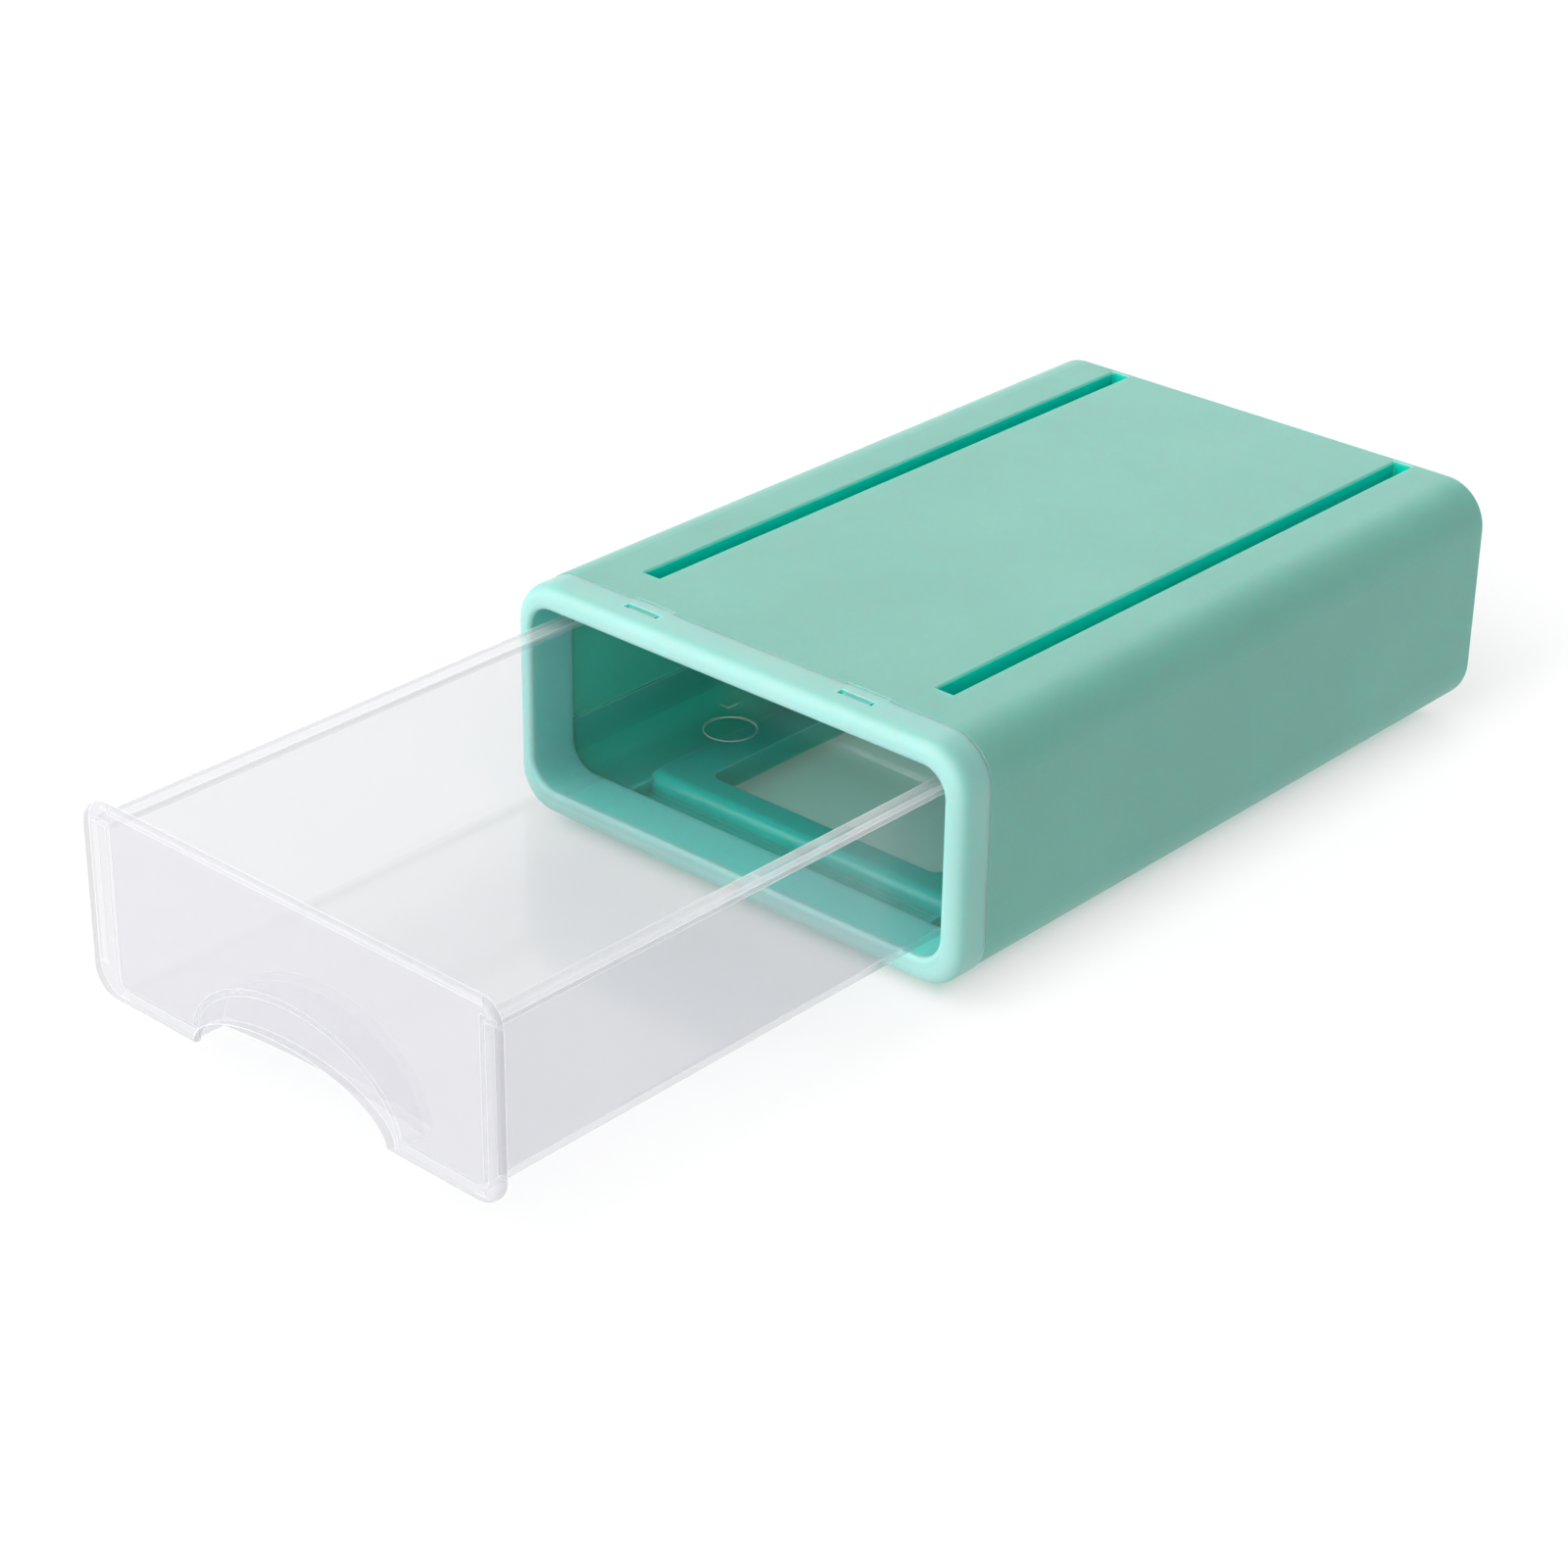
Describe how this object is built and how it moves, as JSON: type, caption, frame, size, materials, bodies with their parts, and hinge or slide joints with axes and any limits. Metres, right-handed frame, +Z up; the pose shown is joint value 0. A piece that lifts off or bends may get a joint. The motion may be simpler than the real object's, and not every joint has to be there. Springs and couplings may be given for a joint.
{
  "type": "stackable drawer box",
  "caption": "Low stackable desk drawer: a rounded plastic sleeve with stacking grooves, a clip-on front frame and a clear pull-out drawer with a finger pull.",
  "frame": {"origin": "middle of the underside of the whole thing with the drawer standing open as stored, at the height of the rails' feet", "axes": "+Z up; -Y towards the person who opens the drawer; +X to the right seen from above with the drawer towards the bottom"},
  "size_m": [0.18, 0.4404, 0.084],
  "materials": {
    "case_plastic": "fine matte",
    "frame_plastic": "satin",
    "clear_plastic": "clear, glossy, slightly milky"
  },
  "bodies": {
    "case": {"casing": "case_plastic", "front_frame": "frame_plastic"},
    "drawer": {"drawer": "clear_plastic"}
  },
  "joints": [
    {"name": "drawer_slide", "type": "slide", "parent": "case", "child": "drawer", "axis": [0, 1, 0], "range_m": [-0.03, 0.174]}
  ]
}
